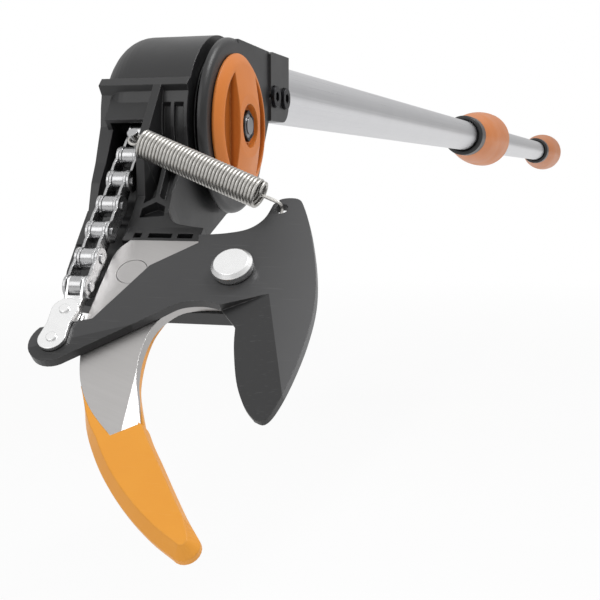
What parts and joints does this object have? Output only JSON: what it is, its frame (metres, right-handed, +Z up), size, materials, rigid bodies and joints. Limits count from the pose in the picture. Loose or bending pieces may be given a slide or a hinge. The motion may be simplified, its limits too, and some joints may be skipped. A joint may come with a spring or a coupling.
{
  "type": "tree pruner pole",
  "caption": "Long-reach tree pruner: aluminium pole with orange ball grips, tilting black head, dark chain-driven blade, bright steel hook with an orange tip.",
  "frame": {"origin": "On the pole's axis at the place where the pole is held, 400 mm from the head's tilt axis", "axes": "+Y runs along the pole from the head to the end ball, +Z is up, and +X runs along the tilt axis towards the locking knob"},
  "size_m": [0.1116, 1.6668, 0.1791],
  "materials": {
    "aluminium": "satin anodised, fine lengthwise drawing lines",
    "black_plastic": "satin moulded plastic with a fine grain",
    "orange_plastic": "smooth moulded orange plastic",
    "dark_steel": "blackened screws",
    "coated_steel": "dark low-friction coating, slightly worn at its edges",
    "steel": "ground steel",
    "bright_steel": "bright plated steel"
  },
  "bodies": {
    "pole": {"pole_tube": "aluminium", "pole_bracket": "black_plastic", "socket_screws": "dark_steel", "tilt_axle": "steel", "axle_nut": "steel", "end_plug": "black_plastic", "end_collar": "black_plastic", "end_ball": "orange_plastic", "end_screw": "steel"},
    "knob": {"lock_knob": "orange_plastic", "knob_nut": "dark_steel"},
    "head": {"head_frame": "black_plastic", "head_cover": "black_plastic", "cover_screws": "dark_steel", "hook_plate": "steel", "hook_tip": "orange_plastic", "hook_screws": "steel", "pivot_bolt": "bright_steel", "pivot_nut": "steel", "spring_post": "bright_steel", "chain_guide": "black_plastic"},
    "cutter": {"blade": "coated_steel", "tail_plates": "bright_steel", "tail_pins": "bright_steel"},
    "drum": {"cord_pulley": "black_plastic", "chain_wheel": "steel", "wheel_sleeve": "steel", "wheel_links": "bright_steel", "cord_winding": "steel"},
    "chain": {"chain_rollers": "bright_steel", "chain_pins": "bright_steel", "inner_links": "bright_steel", "outer_links": "bright_steel", "twist_link": "bright_steel"},
    "spring_arm": {"return_spring": "bright_steel"},
    "spring_end": {"spring_hook": "bright_steel"},
    "grip": {"grip_ball": "orange_plastic", "grip_collar": "black_plastic", "grip_key": "steel", "cord_shoe": "black_plastic", "pull_cord": "steel"}
  },
  "joints": [
    {"name": "head_tilt", "type": "hinge", "parent": "pole", "child": "head", "pos_m": [0, -0.4, -0.019], "axis": [1, 0, 0], "range_deg": [-132, 68]},
    {"name": "knob_turn", "type": "hinge", "parent": "pole", "child": "knob", "pos_m": [0, -0.4, -0.019], "axis": [1, 0, 0], "range_deg": [0, 180]},
    {"name": "grip_slide", "type": "slide", "parent": "pole", "child": "grip", "axis": [0, 1, 0], "range_m": [0, 0.08087], "stiffness_N_per_m": 150, "springref_m": -0.04},
    {"name": "blade_swing", "type": "hinge", "parent": "head", "child": "cutter", "pos_m": [0.0435, -0.47171, -0.08357], "axis": [0, 0.6691, -0.7431], "range_deg": [0, 42.01]},
    {"name": "drum_turn", "type": "hinge", "parent": "head", "child": "drum", "pos_m": [0, -0.4, -0.019], "axis": [-1, 0, 0], "range_deg": [0, 193.11]},
    {"name": "chain_slide", "type": "slide", "parent": "head", "child": "chain", "axis": [0, 0.7431, 0.6691], "range_m": [0, 0.0428]},
    {"name": "spring_swing", "type": "hinge", "parent": "head", "child": "spring_arm", "pos_m": [-0.0046, -0.45738, -0.02626], "axis": [-0.3486, 0.2416, -0.9056], "range_deg": [0, 7.06]},
    {"name": "spring_stretch", "type": "slide", "parent": "spring_arm", "child": "spring_end", "axis": [0.9279, -0.0475, -0.3699], "range_m": [0, 0.02178], "deforming": ["return_spring"]}
  ],
  "couplings": [
    {"joint": "blade_swing", "follows": "grip_slide", "rad_per_m": 9.0646},
    {"joint": "drum_turn", "follows": "grip_slide", "rad_per_m": 41.667},
    {"joint": "chain_slide", "follows": "grip_slide", "ratio": 0.52917},
    {"joint": "spring_swing", "follows": "grip_slide", "rad_per_m": 1.521},
    {"joint": "spring_stretch", "follows": "grip_slide", "ratio": 0.26922}
  ]
}
